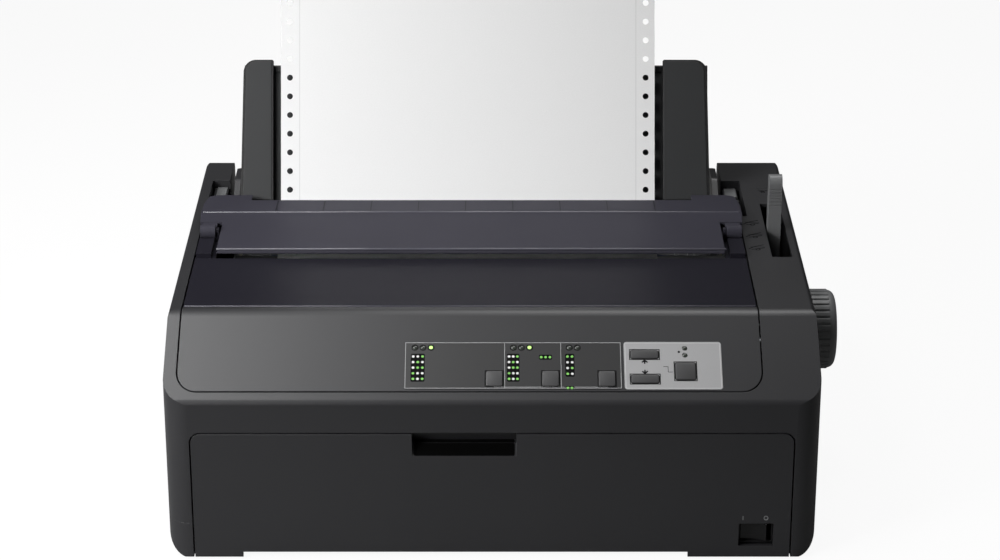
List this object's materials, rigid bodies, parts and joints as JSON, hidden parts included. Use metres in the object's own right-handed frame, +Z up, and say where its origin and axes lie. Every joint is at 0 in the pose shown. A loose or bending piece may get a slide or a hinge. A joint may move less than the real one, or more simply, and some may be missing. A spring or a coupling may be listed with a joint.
{
  "type": "dot matrix printer",
  "caption": "Desktop dot matrix printer with a smoked hinged cover, sloping key panel, pull-down front cover, tractor-fed continuous paper and a rear paper guide.",
  "frame": {"origin": "under the middle of the outer box, on the surface it stands on", "axes": "+X along the print line towards the platen knob, +Y from the front cover to the rear, +Z up"},
  "size_m": [0.4252, 0.32, 0.28],
  "materials": {
    "case_plastic": "charcoal moulding with a fine spark-eroded texture",
    "smoked_plastic": "smoked bluish plastic, lightly see-through",
    "guide_plastic": "dark grey moulding",
    "dark_overlay": "printed film, near black",
    "silver_overlay": "printed film, light grey",
    "light_guides": "clear green light guides",
    "key_plastic": "dark keys",
    "grey_plastic": "mid-grey moulding",
    "black_plastic": "black moulding",
    "foot_rubber": "soft black rubber",
    "platen_rubber": "ground hard rubber",
    "plated_steel": "zinc-plated sheet",
    "bright_steel": "ground bright bar",
    "natural_nylon": "natural nylon",
    "brass_gear": "cut brass",
    "tractor_plastic": "grey-black moulding",
    "lever_plastic": "blue moulding",
    "cast_alloy": "black anodised casting",
    "circuit_board": "green board with dark parts",
    "paper_stock": "plain white"
  },
  "bodies": {
    "case": {"lower_case": "case_plastic", "upper_case": "case_plastic", "control_panel": "case_plastic", "panel_overlay": "dark_overlay", "status_overlay": "silver_overlay", "led_lights": "light_guides", "panel_board": "circuit_board", "switch_body": "black_plastic", "rubber_feet": "foot_rubber", "chassis_pan": "plated_steel", "side_frame_left": "plated_steel", "side_frame_right": "plated_steel", "shaft_bushes": "natural_nylon", "tractor_rod": "bright_steel", "feed_motor": "plated_steel", "carriage_rails": "bright_steel", "carriage_motor": "plated_steel", "drive_belt": "foot_rubber", "ribbon_cartridge": "black_plastic", "main_board": "circuit_board", "power_supply": "circuit_board", "lower_paper_guide": "guide_plastic", "continuous_paper": "paper_stock"},
    "cover": {"printer_cover": "smoked_plastic"},
    "flap": {"cover_flap": "smoked_plastic"},
    "door": {"front_cover": "case_plastic"},
    "guide": {"paper_guide": "guide_plastic"},
    "edge_left": {"edge_guide_left": "guide_plastic"},
    "edge_right": {"edge_guide_right": "guide_plastic"},
    "lever": {"release_lever": "grey_plastic"},
    "platen": {"platen_shaft": "bright_steel", "platen_roller": "platen_rubber", "platen_gear": "natural_nylon", "platen_knob": "grey_plastic"},
    "idler_front": {"idler_gear_front": "natural_nylon"},
    "idler_rear": {"idler_gear_rear": "natural_nylon"},
    "tractor_drive": {"tractor_shaft": "bright_steel", "tractor_gear": "natural_nylon"},
    "tractor_l": {"tractor_left": "tractor_plastic"},
    "tractor_r": {"tractor_right": "tractor_plastic"},
    "tractor_lid_l": {"tractor_cover_left": "tractor_plastic"},
    "tractor_lid_r": {"tractor_cover_right": "tractor_plastic"},
    "tractor_lock_l": {"tractor_lock_left": "lever_plastic"},
    "tractor_lock_r": {"tractor_lock_right": "lever_plastic"},
    "sprocket_l": {"sprocket_left": "black_plastic"},
    "sprocket_r": {"sprocket_right": "black_plastic"},
    "pinion": {"feed_pinion": "brass_gear"},
    "carriage": {"carriage": "black_plastic", "print_head": "cast_alloy"},
    "drive_wheel": {"drive_pulley": "brass_gear"},
    "idler_wheel": {"idler_pulley": "plated_steel"},
    "ribbon_wheel": {"ribbon_knob": "black_plastic"},
    "gap_setting": {"gap_lever": "lever_plastic"},
    "key_item_up": {"button_item_up": "key_plastic"},
    "key_item_down": {"button_item_down": "key_plastic"},
    "key_set": {"button_set": "key_plastic"},
    "key_load": {"button_load": "key_plastic"},
    "key_feed": {"button_feed": "key_plastic"},
    "key_pause": {"button_pause": "key_plastic"},
    "rocker": {"power_rocker": "black_plastic"}
  },
  "joints": [
    {"name": "cover_hinge", "type": "hinge", "parent": "case", "child": "cover", "pos_m": [-0.0266, 0.086, 0.138], "axis": [-1, 0, 0], "range_deg": [0, 65]},
    {"name": "flap_hinge", "type": "hinge", "parent": "cover", "child": "flap", "pos_m": [-0.0266, 0.014, 0.148], "axis": [-1, 0, 0], "range_deg": [-70, 0]},
    {"name": "front_cover_hinge", "type": "hinge", "parent": "case", "child": "door", "pos_m": [-0.0126, -0.157, 0.0042], "axis": [1, 0, 0], "range_deg": [0, 85]},
    {"name": "paper_guide_tilt", "type": "hinge", "parent": "case", "child": "guide", "pos_m": [-0.0236, 0.106, 0.131], "axis": [1, 0, 0], "range_deg": [-40, 0]},
    {"name": "edge_guide_left_slide", "type": "slide", "parent": "guide", "child": "edge_left", "axis": [1, 0, 0], "range_m": [0, 0.06]},
    {"name": "edge_guide_right_slide", "type": "slide", "parent": "guide", "child": "edge_right", "axis": [1, 0, 0], "range_m": [-0.18, 0]},
    {"name": "release_lever_pivot", "type": "hinge", "parent": "case", "child": "lever", "pos_m": [0.1734, 0.029, 0.06], "axis": [1, 0, 0], "range_deg": [-21, 25]},
    {"name": "platen_spin", "type": "hinge", "parent": "case", "child": "platen", "pos_m": [-0.0126, 0.005, 0.08275], "axis": [1, 0, 0], "continuous": true, "deforming": ["continuous_paper"]},
    {"name": "idler_front_spin", "type": "hinge", "parent": "case", "child": "idler_front", "pos_m": [0.1514, 0.04336, 0.08458], "axis": [1, 0, 0], "continuous": true},
    {"name": "idler_rear_spin", "type": "hinge", "parent": "case", "child": "idler_rear", "pos_m": [0.1514, 0.08073, 0.07574], "axis": [1, 0, 0], "continuous": true},
    {"name": "tractor_shaft_spin", "type": "hinge", "parent": "case", "child": "tractor_drive", "pos_m": [-0.0126, 0.115, 0.088], "axis": [1, 0, 0], "continuous": true},
    {"name": "feed_pinion_spin", "type": "hinge", "parent": "case", "child": "pinion", "pos_m": [0.1514, 0.05184, 0.06128], "axis": [1, 0, 0], "continuous": true},
    {"name": "tractor_left_slide", "type": "slide", "parent": "case", "child": "tractor_l", "axis": [1, 0, 0], "range_m": [-0.01, 0.013]},
    {"name": "tractor_right_slide", "type": "slide", "parent": "case", "child": "tractor_r", "axis": [1, 0, 0], "range_m": [-0.1, 0.02]},
    {"name": "sprocket_left_spin", "type": "hinge", "parent": "tractor_l", "child": "sprocket_l", "pos_m": [-0.1501, 0.115, 0.088], "axis": [1, 0, 0], "continuous": true},
    {"name": "sprocket_right_spin", "type": "hinge", "parent": "tractor_r", "child": "sprocket_r", "pos_m": [0.0917, 0.115, 0.088], "axis": [1, 0, 0], "continuous": true},
    {"name": "tractor_cover_left_hinge", "type": "hinge", "parent": "tractor_l", "child": "tractor_lid_l", "pos_m": [-0.1618, 0.115, 0.104], "axis": [0, -1, 0], "range_deg": [0, 90]},
    {"name": "tractor_cover_right_hinge", "type": "hinge", "parent": "tractor_r", "child": "tractor_lid_r", "pos_m": [0.1034, 0.115, 0.104], "axis": [0, 1, 0], "range_deg": [0, 90]},
    {"name": "tractor_lock_left_pivot", "type": "hinge", "parent": "tractor_l", "child": "tractor_lock_l", "pos_m": [-0.1636, 0.095, 0.078], "axis": [1, 0, 0], "range_deg": [0, 60]},
    {"name": "tractor_lock_right_pivot", "type": "hinge", "parent": "tractor_r", "child": "tractor_lock_r", "pos_m": [0.1054, 0.095, 0.078], "axis": [1, 0, 0], "range_deg": [0, 60]},
    {"name": "carriage_travel", "type": "slide", "parent": "case", "child": "carriage", "axis": [1, 0, 0], "range_m": [0, 0.222]},
    {"name": "drive_pulley_spin", "type": "hinge", "parent": "case", "child": "drive_wheel", "pos_m": [0.1274, -0.076, 0.041], "axis": [0, 0, 1], "range_deg": [-5, 2000]},
    {"name": "idler_pulley_spin", "type": "hinge", "parent": "case", "child": "idler_wheel", "pos_m": [-0.1726, -0.076, 0.041], "axis": [0, 0, 1], "range_deg": [-5, 2000]},
    {"name": "ribbon_knob_spin", "type": "hinge", "parent": "case", "child": "ribbon_wheel", "pos_m": [-0.1446, -0.083, 0.1], "axis": [0, 0, 1], "continuous": true},
    {"name": "gap_lever_pivot", "type": "hinge", "parent": "case", "child": "gap_setting", "pos_m": [-0.1921, -0.05, 0.058], "axis": [1, 0, 0], "range_deg": [-10, 14]},
    {"name": "button_item_up_press", "type": "slide", "parent": "case", "child": "key_item_up", "axis": [0, 0.5388, -0.8425], "range_m": [0, 0.0012], "stiffness_N_per_m": 400, "springref_m": -0.0006},
    {"name": "button_item_down_press", "type": "slide", "parent": "case", "child": "key_item_down", "axis": [0, 0.5388, -0.8425], "range_m": [0, 0.0012], "stiffness_N_per_m": 400, "springref_m": -0.0006},
    {"name": "button_set_press", "type": "slide", "parent": "case", "child": "key_set", "axis": [0, 0.5388, -0.8425], "range_m": [0, 0.0012], "stiffness_N_per_m": 400, "springref_m": -0.0006},
    {"name": "button_load_press", "type": "slide", "parent": "case", "child": "key_load", "axis": [0, 0.5388, -0.8425], "range_m": [0, 0.0012], "stiffness_N_per_m": 400, "springref_m": -0.0006},
    {"name": "button_feed_press", "type": "slide", "parent": "case", "child": "key_feed", "axis": [0, 0.5388, -0.8425], "range_m": [0, 0.0012], "stiffness_N_per_m": 400, "springref_m": -0.0006},
    {"name": "button_pause_press", "type": "slide", "parent": "case", "child": "key_pause", "axis": [0, 0.5388, -0.8425], "range_m": [0, 0.0012], "stiffness_N_per_m": 400, "springref_m": -0.0006},
    {"name": "power_rocker_tilt", "type": "hinge", "parent": "case", "child": "rocker", "pos_m": [0.1498, -0.148, 0.0171], "axis": [0, 0, 1], "range_deg": [0, 18]}
  ],
  "couplings": [
    {"joint": "idler_front_spin", "follows": "platen_spin", "ratio": -1},
    {"joint": "idler_rear_spin", "follows": "platen_spin", "ratio": 1},
    {"joint": "tractor_shaft_spin", "follows": "platen_spin", "ratio": -1.1163},
    {"joint": "sprocket_left_spin", "follows": "platen_spin", "ratio": -1.1163},
    {"joint": "sprocket_right_spin", "follows": "platen_spin", "ratio": -1.1163},
    {"joint": "feed_pinion_spin", "follows": "platen_spin", "ratio": 3.4286},
    {"joint": "drive_pulley_spin", "follows": "carriage_travel", "rad_per_m": 156.25},
    {"joint": "idler_pulley_spin", "follows": "carriage_travel", "rad_per_m": 156.25}
  ]
}
